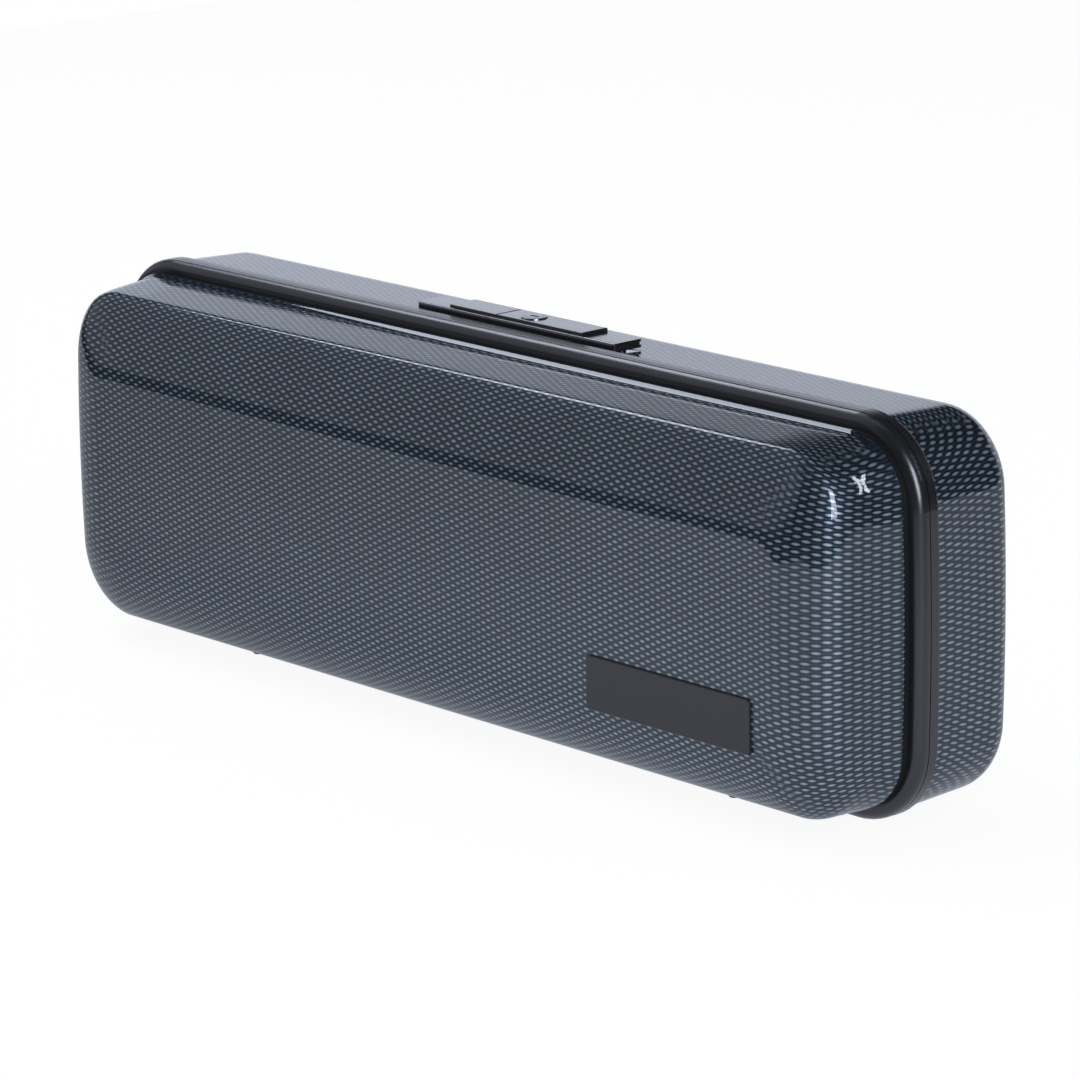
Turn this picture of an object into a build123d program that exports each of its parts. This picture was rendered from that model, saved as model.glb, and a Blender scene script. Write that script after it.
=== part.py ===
from build123d import *
import os
from math import cos, radians, sin, tan

# Hard-shell oboe case standing on its spine, as the photograph shows it. Millimetres.
# +X runs along the case, the lid faces -Y and +Z is up. The origin is on the floor under
# the middle of the case, and the parting plane between lid and base is y = 0.

# Outline of the base shell at its rim
half_len = 163.5            # half length at mid height, where the ends bulge most
half_ht = 52.9              # half height
end_bulge = 1.7             # bulge of each end over its height
base_corner = 21.0          # corner radius
foot_plane = 56.2           # middle of the case above the floor

# Shells, moulded sheet
wall = 2.4
base_depth = 33.9           # parting plane to the back of the base
base_draft = 0.95           # the base is narrower by this at its back
base_round_in = 5.4         # rounding of the back edge, across the back
base_round_deep = 8.1       # the same, along the depth
base_corner_share = 0.5     # share of it by which the outline's corners tighten
lid_depth = 33.1            # parting plane to the front of the lid
lid_inset = 2.4             # the lid shell lies this far inside the base outline
lid_round_in = 21.4         # rounding of the front edge, across the front
lid_round_deep = 14.7       # the same, along the depth
lid_corner_share = 0.2
lid_edge_y = 5.3            # visible rear edge of the lid shell
lid_edge_round = 0.8
flange_step = 0.9           # joggle of the flange that slips into the lid rim
glue_line = 0.05            # gap between a shell and its rim

# Rims, two black extrusions that meet at the parting plane
seam = 0.15                 # each rim stops this far short of the parting plane
crest = 1.3                 # the rims stand this far proud of the base outline
crest_corner = 23.5         # corner radius of the rims' outer line
web = 2.2                   # depth of both webs
lid_band = 3.75             # the wide band on the lid
bull_radius = 2.8           # its bullnose
base_band = 3.4             # the narrow band on the base
band_edge = 0.5             # its rounded edge
lid_rim_in = 5.7            # inner edge of the lid rim, inside the base outline
base_rim_in = 5.4           # inner edge of the base rim
lid_leg = 9.0               # depth of the leg inside the lid
base_leg = 4.4              # depth of the leg inside the base
leg_wall = 0.8
tongue_out = 0.4            # the base rim's tongue starts here
tongue_wall = 1.2
tongue_len = 1.35
groove_gap = 0.4            # room on each side of the tongue
groove_deep = 2.6
seal_thick = 0.8
seal_gap = 0.05
bead_wall = 0.5             # rubber bead between the lid shell and the lid band
bead_gap = 0.02

# Hinges, two butt hinges let into the rims along the spine
axis_in = 0.8               # hinge axis above the lowest line of the rims
barrel_r = 2.2
barrel_gap = 0.25           # between a barrel and the rims
pin_r = 1.1
pin_gap = 0.05
pin_chamfer = 0.2
hinge_len = 46.0
hinge_end = 133.0           # outer end of a barrel from the middle of the case
knuckles = 5
knuckle_gap = 0.3
leaf_thick = 0.9
leaf_seam = 0.1             # each leaf stops this far short of the parting plane
leaf_reach = 5.9            # free edge of a leaf above the hinge axis
opening_angle = 105.0       # the bevels along the spine meet at this angle
hinge_rivet_r = 0.75
hinge_rivet_count = 4
hinge_rivet_pitch = 12.0

# Latch rail on the top of the base
rail_len = 81.4
rail_width = 10.6
rail_thick = 2.4
rail_edge = 0.75            # rounding of its long edges
rail_end_round = 1.0
slot_high = 0.8             # slot along its rear edge
slot_deep = 1.2
latch_y = 10.9              # middle of the latch behind the parting plane
seat_lift = 0.05            # flat seat in the shell under the rail
seat_thick = 3.05
latch_rivet_r = 1.25
latch_rivet_x = 38.0
latch_rivet_head = 2.1
rivet_head_thick = 0.8
rivet_gap = 0.03

# Slider, lock plate and lock on the rail
plate_len = 54.6
plate_width = 9.4
plate_thick = 1.0
plate_edge = 0.3
seam_x = -7.6               # joint between slider and lock plate
slider_gap = 0.25
travel = 7.0
stem_x = -17.0
stem_len = 6.0
stem_width = 3.0
lock_x = 2.8
lock_r = 3.8
lock_proud = 0.35
plug_r = 2.6
plug_gap = 0.05
keyhole_len = 3.4
keyhole_width = 0.9
keyhole_deep = 3.6
tail_r = 1.2
cam_hub_r = 1.8
cam_reach = 2.9
cam_width = 1.8
cam_gap = 0.2

# Bolt in its keeper under the wall
keeper_thick = 3.5
keeper_floor = 1.2
keeper_wall = 1.0
keeper_left = -35.5
keeper_right = 22.0
bolt_left = -27.0
bolt_right = 15.6
bolt_thick = 1.9
bolt_gap = 0.3
bolt_floor_gap = 0.1
strip_wall = 0.75           # strip of the bolt that runs past the cam
finger_x = -4.1
finger_len = 5.8
finger_width = 3.2
finger_drop = 5.0
screw_r = 0.9
screw_head_r = 1.7
screw_head = 0.8
screw_len = 2.8             # thread inside the stem
detent_x = -20.0
detent_strip = 0.3
detent_half = 11.0
detent_notch = 0.5
detent_r = 1.3              # reach of the bump from the keeper's wall
detent_gap = 0.05

# Strike on the lid rim
strike_x = -2.0
strike_width = 11.6
strike_foot = 24.0
strike_thick = 1.5
strike_tip = 16.0           # tip of the blade behind the parting plane
strike_under = 8.2          # top of the blade inside the base outline
strike_notch_gap = 0.4
strike_rivet_r = 1.0
strike_rivet_head = 1.7
strike_rivet_in = 3.0       # from each end of the foot
strike_rivet_y = -6.6

# Fitted block in the base, covered in velvet
bed_gap = 0.35
bed_front = 2.5
bed_pocket_gap = 0.6
recess_deep = 25.0
recess_end = 8.0            # corner radius of the recesses
recess_round = 8.0          # rounding along their floors
joint_left = -150.0
upper_joint_len = 240.0
upper_joint_width = 22.5
upper_joint_z = -6.25       # heights are from the middle of the case
lower_joint_len = 262.0
lower_joint_width = 25.5
lower_joint_z = -33.75
bell_left = 14.0
bell_len = 132.0
bell_neck = 27.0
bell_rim = 38.0
bell_z = 27.5
bell_flare_at = 72.6        # the flare starts this far from the neck
bell_taper = 1.0            # widening of each side up to there
bell_corner = 4.0
bell_round = 4.0
tray_left = -150.0
tray_len = 157.0
tray_width = 29.0
tray_z = 25.0
tray_corner = 4.0
tray_round = 4.0
small_tray_left = 97.0
small_tray_len = 51.0
scoop_x = -36.0
scoop_len = 26.0
scoop_deep = 11.0
scoop_z = -20.0
scoop_width = 44.0

# Lining and pad in the lid
lining_gap = 0.1
lining_thick = 2.5
lining_front = 9.6
pad_half_len = 130.0
pad_gap = 0.3               # between the pad and the curve of the lining
pad_corner = 14.0
pad_side = 3.0
pad_crown = 4.5
pad_draw = 1.2              # the sides are drawn in by this at the seam
pad_corner_share = 0.6      # the corners tighten by this share of what the sides lose
channel_r = 1.6
channel_count = 5
channel_pitch = 44.0

# Badge plate and feet
badge_len = 62.0
badge_ht = 14.8
badge_thick = 0.8
badge_corner = 1.0
badge_x = 102.0
badge_z = -25.0             # from the middle of the case
foot_x = 100.0
base_foot_y = 14.0
base_foot_r = 5.0
lid_foot_y = -7.5           # slim studs, close to the rim
lid_foot_r = 1.8
foot_edge = 0.6

os.makedirs("parts", exist_ok=True)

# Worked out from the sizes above
lowest = foot_plane - half_ht - crest
axis_z = lowest + axis_in
hinge_mid = hinge_end - hinge_len / 2
hinge_sides = {"left": -hinge_mid, "right": hinge_mid}
knuckle_pitch = (hinge_len + knuckle_gap) / knuckles
seat_top = foot_plane + half_ht + seat_lift
seat_under = seat_top - seat_thick
rail_top = seat_top + rail_thick
plate_top = rail_top + plate_thick
plate_end = plate_len / 2
bolt_top = seat_under - bolt_gap
bolt_under = bolt_top - bolt_thick
keeper_under = seat_under - keeper_thick
keeper_half = rail_width / 2
cavity_half = keeper_half - keeper_wall
bolt_half = cavity_half - bolt_gap
finger_bottom = bolt_under - finger_drop
strike_top = foot_plane + half_ht - strike_under
strike_foot_top = foot_plane + half_ht - lid_rim_in
leg_thick = lid_rim_in - lid_inset - wall - glue_line
lid_wall_y = -lid_depth + lid_round_deep
base_wall_y = base_depth - base_round_deep
tongue_floor = foot_plane - half_ht + base_corner
bed_inset = wall + base_draft + bed_gap
base_leg_in = wall + glue_line + base_draft * (base_leg - web) / (base_wall_y - web)
lining_in = lid_inset + wall + lining_gap
pad_floor = -lid_depth + wall + lining_thick
pad_half_ht = half_ht - lining_in - lining_thick - lid_round_in - pad_gap + pad_draw
strike_rivet_places = [(strike_x + end * (strike_foot / 2 - strike_rivet_in), strike_rivet_y)
                       for end in (-1, 1)]
far = 400.0


# A plane at depth y, seen from the front, with its origin at mid height
def depth_plane(y):
    return Plane(origin=(0, y, foot_plane), x_dir=(1, 0, 0), z_dir=(0, -1, 0))


# The case outline at depth y: straight top and bottom, bulging ends, round corners
def outline(y, inset, corner=None):
    corner_x = half_len - end_bulge - inset
    corner_z = half_ht - inset
    with BuildSketch(depth_plane(y)) as sketch:
        with BuildLine():
            Line((-corner_x, corner_z), (corner_x, corner_z))
            ThreePointArc((corner_x, corner_z), (half_len - inset, 0), (corner_x, -corner_z))
            Line((corner_x, -corner_z), (-corner_x, -corner_z))
            ThreePointArc((-corner_x, -corner_z), (-half_len + inset, 0), (-corner_x, corner_z))
        make_face()
        fillet(sketch.vertices(), radius=corner or base_corner - inset)
    return sketch.sketch


# Sections of a soft edge, from the straight wall at y_wall to the flat face at y_face
def soft_edge(y_wall, y_face, inset, round_in, corner_share):
    sections = []
    for turn in range(0, 91, 15):
        across = round_in * (1 - cos(radians(turn)))
        along = (y_face - y_wall) * sin(radians(turn))
        corner = base_corner - inset - corner_share * across
        sections.append(outline(y_wall + along, inset + across, corner))
    return sections


# A closed ring between two insets of the outline
def ring(y_front, y_rear, inset_out, inset_in, corner=None):
    with BuildPart() as band:
        extrude(to_extrude=outline(y_rear, inset_out, corner), amount=y_rear - y_front)
        extrude(to_extrude=outline(y_rear, inset_in), amount=y_rear - y_front, mode=Mode.SUBTRACT)
    return band.part


# A box between two corners, for cuts and small feet
def block(low, high):
    size = [b - a for a, b in zip(low, high)]
    return Box(*size, mode=Mode.PRIVATE).moved(Location([(a + b) / 2 for a, b in zip(low, high)]))


# A round bar along +Y or +Z from a start point
def bar(start, direction, radius, length):
    with BuildPart() as rod:
        with BuildSketch(Plane(origin=start, z_dir=direction)):
            Circle(radius)
        extrude(amount=length)
    return rod.part


def finish(piece, name):
    piece.part.label = name
    export_step(piece.part, f"parts/{name}.step")


# Shells

with BuildPart() as base_shell:
    loft(sections=[outline(web + glue_line, 0), outline(base_wall_y, base_draft)], ruled=True)
    loft(sections=soft_edge(base_wall_y, base_depth, base_draft, base_round_in,
                           base_corner_share))
    loft(sections=[outline(web + glue_line, wall), outline(base_wall_y, base_draft + wall)],
         ruled=True, mode=Mode.SUBTRACT)
    loft(sections=soft_edge(base_wall_y, base_depth - wall, base_draft + wall, base_round_in,
                            base_corner_share), mode=Mode.SUBTRACT)
    # flat seat for the latch, outside and inside
    add(block((-rail_len / 2, base_leg + bed_gap, seat_under),
              (rail_len / 2, latch_y + rail_width / 2, seat_top)))
    # stem slot, lock hole and rivet holes
    with BuildSketch(Plane.XY.offset(seat_under)):
        with Locations((stem_x - travel / 2, latch_y)):
            Rectangle(stem_len + travel + 2 * bolt_gap, stem_width + 2 * bolt_gap)
        with Locations((lock_x, latch_y)):
            Circle(lock_r + rivet_gap)
        with Locations((-latch_rivet_x, latch_y), (latch_rivet_x, latch_y)):
            Circle(latch_rivet_r + rivet_gap)
    extrude(amount=seat_thick, mode=Mode.SUBTRACT)
    for middle in hinge_sides.values():
        add(bar((middle - hinge_len / 2 - barrel_gap, 0, axis_z), (1, 0, 0), barrel_r + barrel_gap,
                hinge_len + 2 * barrel_gap), mode=Mode.SUBTRACT)

with BuildPart() as lid_shell:
    extrude(to_extrude=outline(-lid_edge_y, lid_inset), amount=-lid_edge_y - lid_wall_y)
    loft(sections=soft_edge(lid_wall_y, -lid_depth, lid_inset, lid_round_in, lid_corner_share))
    fillet(lid_shell.edges().filter_by(lambda e: abs(e.center().Y + lid_edge_y) < 0.01),
           radius=lid_edge_round)
    # joggled flange that slips into the rim
    extrude(to_extrude=outline(-lid_edge_y, lid_inset + flange_step),
            amount=-(lid_edge_y - web - glue_line))
    extrude(to_extrude=outline(-web, lid_inset + wall), amount=-web - lid_wall_y, mode=Mode.SUBTRACT)
    loft(sections=soft_edge(lid_wall_y, -lid_depth + wall, lid_inset + wall, lid_round_in,
                            lid_corner_share), mode=Mode.SUBTRACT)

# Rims

groove_out = tongue_out - groove_gap
groove_in = tongue_out + tongue_wall + groove_gap
spine_cut = block((-far, -far, -far), (far, far, tongue_floor))


# The hinge's room in a rim: barrel, leaf pocket and the bevel along the spine
def hinge_room(side):
    with BuildPart() as room:
        for middle in hinge_sides.values():
            add(bar((middle - hinge_len / 2 - barrel_gap, 0, axis_z), (1, 0, 0),
                    barrel_r + barrel_gap, hinge_len + 2 * barrel_gap))
            add(block((middle - hinge_len / 2 - barrel_gap, min(0, side * (leaf_seam + leaf_thick)),
                       axis_z),
                      (middle + hinge_len / 2 + barrel_gap, max(0, side * (leaf_seam + leaf_thick)),
                       axis_z + leaf_reach + barrel_gap)))
        bevel = axis_in + barrel_r
        with BuildSketch(Plane.YZ.offset(-half_len)):
            with BuildLine():
                Polyline((side * seam, axis_z), (side * seam, axis_z - bevel),
                         (side * (seam + bevel * tan(radians(opening_angle / 2))), axis_z - bevel),
                         close=True)
            make_face()
        extrude(amount=2 * half_len)
    return room.part


# Places of the rivets in both leaves and both rims
def hinge_rivet_places():
    height = axis_z + (barrel_r + barrel_gap + leaf_reach) / 2
    first = -hinge_rivet_pitch * (hinge_rivet_count - 1) / 2
    return [(middle + first + hinge_rivet_pitch * i, height)
            for middle in hinge_sides.values() for i in range(hinge_rivet_count)]


with BuildPart() as lid_rim:
    add(ring(-lid_band, -seam, -crest, lid_inset + flange_step - glue_line, crest_corner))
    fillet(lid_rim.faces().filter_by(lambda f: abs(f.center().Y + lid_band) < 0.01)[0]
           .outer_wire().edges(), radius=bull_radius)
    add(ring(-web, -seam, lid_inset, lid_rim_in))
    add(ring(-lid_leg, -web, lid_inset + wall + glue_line, lid_rim_in))
    add(ring(-groove_deep, -seam, groove_out, groove_in) - spine_cut, mode=Mode.SUBTRACT)
    add(hinge_room(-1), mode=Mode.SUBTRACT)
    for x, z in hinge_rivet_places():
        add(bar((x, 0, z), (0, -1, 0), hinge_rivet_r + rivet_gap, web), mode=Mode.SUBTRACT)
    for place in strike_rivet_places:
        add(bar((*place, strike_foot_top), (0, 0, 1), strike_rivet_r + rivet_gap, leg_thick),
            mode=Mode.SUBTRACT)

with BuildPart() as base_rim:
    add(ring(seam, base_band, -crest, -glue_line, crest_corner))
    fillet(base_rim.faces().filter_by(lambda f: abs(f.center().Y - base_band) < 0.01)[0]
           .outer_wire().edges(), radius=band_edge)
    add(ring(seam, web, -crest / 2, base_rim_in))
    add(ring(web, base_leg, base_leg_in, base_leg_in + leg_wall))
    add(ring(-tongue_len, seam, tongue_out, tongue_out + tongue_wall) - spine_cut)
    add(hinge_room(1), mode=Mode.SUBTRACT)
    for x, z in hinge_rivet_places():
        add(bar((x, 0, z), (0, 1, 0), hinge_rivet_r + rivet_gap, web), mode=Mode.SUBTRACT)

with BuildPart() as rim_bead:
    add(ring(-lid_edge_y + bead_gap, -lid_band - bead_gap,
             lid_inset + flange_step - bead_wall, lid_inset + flange_step - bead_gap))

with BuildPart() as rim_seal:
    add(ring(-groove_deep + bead_gap, -groove_deep + seal_thick,
             groove_out + seal_gap, groove_in - seal_gap) - spine_cut)


# Hinges


def knuckle_parts(side, middle, bore):
    # the base leaf has the outer and middle knuckles, the lid leaf the two between
    own = range(0, knuckles, 2) if side > 0 else range(1, knuckles, 2)
    start = middle - hinge_len / 2
    y_near = min(side * leaf_seam, side * (leaf_seam + leaf_thick))
    with BuildPart() as leaf:
        add(block((start, y_near, axis_z + barrel_r + barrel_gap),
                  (start + hinge_len, y_near + leaf_thick, axis_z + leaf_reach)))
        for index in own:
            left = start + index * knuckle_pitch
            right = left + knuckle_pitch - knuckle_gap
            add(bar((left, 0, axis_z), (1, 0, 0), barrel_r, right - left))
            add(block((left, y_near, axis_z), (right, y_near + leaf_thick,
                                               axis_z + barrel_r + barrel_gap)))
        add(bar((start - 1, 0, axis_z), (1, 0, 0), bore, hinge_len + 2), mode=Mode.SUBTRACT)
        for x, z in hinge_rivet_places():
            add(bar((x, side * leaf_seam / 2, z), (0, side, 0), hinge_rivet_r + rivet_gap,
                    leaf_thick * 2), mode=Mode.SUBTRACT)
    return leaf.part


for side_name, middle in hinge_sides.items():
    with BuildPart() as lid_leaf:
        add(knuckle_parts(-1, middle, pin_r + pin_gap))
    finish(lid_leaf, f"hinge_leaf_lid_{side_name}")

    with BuildPart() as base_leaf:
        add(knuckle_parts(1, middle, pin_r))
    finish(base_leaf, f"hinge_leaf_base_{side_name}")

    with BuildPart() as hinge_pin:
        add(bar((middle - hinge_len / 2, 0, axis_z), (1, 0, 0), pin_r, hinge_len))
        chamfer(hinge_pin.edges().filter_by(GeomType.CIRCLE), length=pin_chamfer)
    finish(hinge_pin, f"hinge_pin_{side_name}")

with BuildPart() as hinge_rivets_lid:
    for x, z in hinge_rivet_places():
        add(bar((x, -leaf_seam, z), (0, -1, 0), hinge_rivet_r, web - leaf_seam))

with BuildPart() as hinge_rivets_base:
    for x, z in hinge_rivet_places():
        add(bar((x, leaf_seam, z), (0, 1, 0), hinge_rivet_r, web - leaf_seam))

# Latch on the top of the base

with BuildPart() as latch_rail:
    with BuildSketch(Plane.YZ.offset(-rail_len / 2)) as rail_profile:
        with Locations((latch_y, seat_top + rail_thick / 2)):
            Rectangle(rail_width, rail_thick)
        with Locations((latch_y + (rail_width - slot_deep) / 2, seat_top + rail_thick / 2)):
            Rectangle(slot_deep, slot_high, mode=Mode.SUBTRACT)
        front = rail_profile.vertices().group_by(Axis.Y)[-1].sort_by(Axis.X)[0]
        fillet(front, radius=rail_edge)
        lips = rail_profile.vertices().filter_by(
            lambda v: abs(v.Y - latch_y - rail_width / 2) < 0.01)
        fillet(lips, radius=(rail_thick - slot_high) / 4)
    extrude(amount=rail_len)
    with BuildSketch(Plane.XY.offset(seat_top)):
        with Locations((0, latch_y)):
            Rectangle(rail_len, rail_width)
            RectangleRounded(rail_len, rail_width, rail_end_round, mode=Mode.SUBTRACT)
        with Locations((stem_x - travel / 2, latch_y)):
            Rectangle(stem_len + travel + 2 * bolt_gap, stem_width + 2 * bolt_gap)
        with Locations((lock_x, latch_y)):
            Circle(lock_r + rivet_gap)
    extrude(amount=rail_thick, mode=Mode.SUBTRACT)
    with BuildSketch(Plane.XY.offset(seat_top)):
        with Locations((-latch_rivet_x, latch_y), (latch_rivet_x, latch_y)):
            Circle(latch_rivet_r + rivet_gap)
    extrude(amount=rail_thick / 2, mode=Mode.SUBTRACT)


# A flat plate on the rail between two places along X, with softened top edges
def rail_plate(x_left, x_right, bottom):
    with BuildPart() as plate:
        add(block((x_left, latch_y - plate_width / 2, bottom),
                  (x_right, latch_y + plate_width / 2, plate_top)))
        fillet(plate.faces().sort_by(Axis.Z)[-1].outer_wire().edges(), radius=plate_edge)
    return plate.part


with BuildPart() as lock_plate:
    add(rail_plate(seam_x + slider_gap / 2, plate_end, rail_top))
    add(bar((lock_x, latch_y, rail_top), (0, 0, 1), lock_r + rivet_gap, plate_thick + 1),
        mode=Mode.SUBTRACT)

with BuildPart() as latch_slider:
    add(rail_plate(-plate_end, seam_x - slider_gap / 2, rail_top + bolt_floor_gap))
    with BuildSketch(Plane.XY.offset(bolt_top)):
        with Locations((stem_x, latch_y)):
            Rectangle(stem_len, stem_width)
    extrude(amount=rail_top + plate_thick / 2 - bolt_top)
    add(bar((stem_x, latch_y, bolt_top), (0, 0, 1), screw_r + rivet_gap, screw_len),
        mode=Mode.SUBTRACT)

with BuildPart() as latch_bolt:
    with BuildSketch(Plane.XY.offset(bolt_under)):
        with BuildLine():
            Polyline((bolt_left, latch_y - bolt_half + detent_r), (bolt_left, latch_y + bolt_half),
                     (bolt_right, latch_y + bolt_half),
                     (bolt_right, latch_y - bolt_half + detent_r), close=True)
        make_face()
        # window round the lock's tail, and the two places where the cam turns
        with Locations((lock_x + travel / 2, latch_y)):
            Rectangle(travel + 2 * (cam_reach + cam_gap), 2 * (cam_hub_r + cam_gap),
                      mode=Mode.SUBTRACT)
        cam_side = bolt_half - strip_wall
        for cut_left, cut_right in ((lock_x - cam_reach - cam_gap, lock_x + cam_width / 2 + cam_gap),
                                    (lock_x + travel - cam_width / 2 - cam_gap,
                                     lock_x + travel + cam_reach + cam_gap)):
            with Locations(((cut_left + cut_right) / 2, latch_y + cam_side / 2)):
                Rectangle(cut_right - cut_left, cam_side, mode=Mode.SUBTRACT)
        # notches for the detent at both ends of the travel
        with Locations((detent_x, latch_y - bolt_half + detent_r),
                       (detent_x + travel, latch_y - bolt_half + detent_r)):
            Circle(detent_notch + detent_strip, mode=Mode.SUBTRACT)
    extrude(amount=bolt_thick)
    add(block((finger_x - finger_len / 2, latch_y - finger_width / 2, finger_bottom),
              (finger_x + finger_len / 2, latch_y + finger_width / 2, bolt_under)))
    add(bar((stem_x, latch_y, bolt_under), (0, 0, 1), screw_r + rivet_gap, bolt_thick),
        mode=Mode.SUBTRACT)
    add(bar((stem_x, latch_y, bolt_under), (0, 0, 1), screw_head_r + rivet_gap, screw_head),
        mode=Mode.SUBTRACT)

with BuildPart() as bolt_screw:
    add(bar((stem_x, latch_y, bolt_under), (0, 0, 1), screw_head_r, screw_head))
    add(bar((stem_x, latch_y, bolt_under), (0, 0, 1), screw_r, bolt_thick + screw_len))

with BuildPart() as latch_keeper:
    add(block((keeper_left, latch_y - keeper_half, keeper_under),
              (keeper_right, latch_y + keeper_half, seat_under)))
    add(block((keeper_left + keeper_wall, latch_y - cavity_half, keeper_under + keeper_floor),
              (keeper_right - keeper_wall, latch_y + cavity_half, seat_under)), mode=Mode.SUBTRACT)
    # tabs for the rivets
    add(block((-rail_len / 2, latch_y - keeper_half, seat_under - keeper_floor),
              (keeper_left, latch_y + keeper_half, seat_under)))
    add(block((keeper_right, latch_y - keeper_half, seat_under - keeper_floor),
              (rail_len / 2, latch_y + keeper_half, seat_under)))
    with BuildSketch(Plane.XY.offset(keeper_under)):
        with Locations((finger_x - travel / 2, latch_y)):
            Rectangle(finger_len + travel + 2 * bolt_gap, finger_width + 2 * bolt_gap)
        with Locations((stem_x, latch_y), (-latch_rivet_x, latch_y), (latch_rivet_x, latch_y)):
            Circle(latch_rivet_r + rivet_gap)
    extrude(amount=keeper_thick, mode=Mode.SUBTRACT)

with BuildPart() as latch_rivets:
    for x in (-latch_rivet_x, latch_rivet_x):
        under = seat_under - keeper_floor
        add(bar((x, latch_y, under - rivet_head_thick), (0, 0, 1), latch_rivet_head, rivet_head_thick))
        add(bar((x, latch_y, under), (0, 0, 1), latch_rivet_r, seat_top + rail_thick / 2 - under))
    chamfer(latch_rivets.edges().filter_by(GeomType.CIRCLE).group_by(Axis.Z)[0],
            length=rivet_head_thick / 2)

# The detent is a bent strip beside the bolt, with its bump in one of the bolt's notches
with BuildPart() as latch_detent:
    strip_y = latch_y - cavity_half
    bump = detent_r + bolt_gap - detent_gap
    with BuildSketch(Plane.XY.offset(bolt_under + bolt_floor_gap)):
        with Locations((detent_x, strip_y + detent_strip / 2)):
            Rectangle(2 * detent_half, detent_strip)
        with Locations((detent_x, strip_y)):
            Circle(bump)
        with Locations((detent_x, strip_y - far / 2)):
            Rectangle(far, far, mode=Mode.SUBTRACT)
        with Locations((detent_x, strip_y)):
            Circle(bump - detent_strip, mode=Mode.SUBTRACT)
    extrude(amount=bolt_thick - 2 * bolt_floor_gap)

with BuildPart() as lock_barrel:
    add(bar((lock_x, latch_y, seat_under), (0, 0, 1), lock_r, plate_top + lock_proud - seat_under))
    chamfer(lock_barrel.edges().filter_by(GeomType.CIRCLE).sort_by(Axis.Z)[-1], length=lock_proud / 2)
    add(bar((lock_x, latch_y, seat_under), (0, 0, 1), plug_r + plug_gap, far), mode=Mode.SUBTRACT)

with BuildPart() as lock_plug:
    add(bar((lock_x, latch_y, seat_under), (0, 0, 1), plug_r, plate_top + lock_proud - seat_under))
    add(bar((lock_x, latch_y, bolt_under + bolt_floor_gap), (0, 0, 1), tail_r,
            seat_under - bolt_under))
    with BuildSketch(Plane.XY.offset(plate_top + lock_proud)):
        with Locations((lock_x, latch_y)):
            SlotOverall(keyhole_len, keyhole_width)
    extrude(amount=-keyhole_deep, mode=Mode.SUBTRACT)

with BuildPart() as lock_cam:
    with BuildSketch(Plane.XY.offset(bolt_under + bolt_floor_gap)):
        with Locations((lock_x, latch_y)):
            Circle(cam_hub_r)
        with Locations((lock_x - cam_reach / 2, latch_y)):
            Rectangle(cam_reach, cam_width)
        with Locations((lock_x, latch_y)):
            Circle(tail_r, mode=Mode.SUBTRACT)
    extrude(amount=bolt_thick - bolt_floor_gap)

# Strike, a cranked blade under the lid rim that the bolt's finger holds
with BuildPart() as strike_plate:
    foot_under = strike_foot_top - strike_thick
    crank = web + bolt_gap
    add(block((strike_x - strike_foot / 2, -lid_leg, foot_under),
              (strike_x + strike_foot / 2, -crank, strike_foot_top)))
    add(block((strike_x - strike_width / 2, -crank - strike_thick, strike_top - strike_thick),
              (strike_x + strike_width / 2, -crank, strike_foot_top)))
    add(block((strike_x - strike_width / 2, -crank - strike_thick, strike_top - strike_thick),
              (strike_x + strike_width / 2, strike_tip, strike_top)))
    chamfer(strike_plate.edges().filter_by(Axis.Z).group_by(Axis.Y)[-1], length=strike_thick)
    add(block((strike_x - strike_width, latch_y - finger_width / 2 - strike_notch_gap, 0),
              (finger_x + finger_len / 2 + strike_notch_gap,
               latch_y + finger_width / 2 + strike_notch_gap, far)), mode=Mode.SUBTRACT)
    for place in strike_rivet_places:
        add(bar((*place, foot_under), (0, 0, 1), strike_rivet_r + rivet_gap, strike_thick),
            mode=Mode.SUBTRACT)

with BuildPart() as strike_rivets:
    for place in strike_rivet_places:
        add(bar((*place, foot_under), (0, 0, 1), strike_rivet_r, strike_thick + leg_thick))
        add(bar((*place, foot_under - rivet_head_thick), (0, 0, 1), strike_rivet_head,
                rivet_head_thick))

# Fitted block in the base


# The space of a round-ended recess with a rounded floor
def recess(x_left, length, z_mid, width, deep, corner, floor_round):
    with BuildPart() as space:
        with BuildSketch(depth_plane(bed_front)):
            with Locations((x_left + length / 2, z_mid)):
                RectangleRounded(length, width, corner)
        extrude(amount=-deep)
        fillet(space.faces().sort_by(Axis.Y)[-1].outer_wire().edges(), radius=floor_round)
    return space.part


# The bell lies in a recess that flares with it
def bell_recess():
    neck, rim, right = bell_neck / 2, bell_rim / 2, bell_left + bell_len
    flare = bell_left + bell_flare_at
    with BuildPart() as space:
        with BuildSketch(depth_plane(bed_front)):
            with BuildLine():
                Line((bell_left, bell_z - neck), (bell_left, bell_z + neck))
                upper = Line((bell_left, bell_z + neck), (flare, bell_z + neck + bell_taper))
                TangentArc((flare, bell_z + neck + bell_taper), (right, bell_z + rim), tangent=upper % 1)
                Line((right, bell_z + rim), (right, bell_z - rim))
                lower = Line((bell_left, bell_z - neck), (flare, bell_z - neck - bell_taper))
                TangentArc((flare, bell_z - neck - bell_taper), (right, bell_z - rim), tangent=lower % 1)
            make_face()
        extrude(amount=-recess_deep)
        ends = space.edges().filter_by(Axis.Y).group_by(Axis.X)
        fillet(ends[0] + ends[-1], radius=bell_corner)
        fillet(space.faces().sort_by(Axis.Y)[-1].outer_wire().edges(), radius=bell_round)
    return space.part


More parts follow.
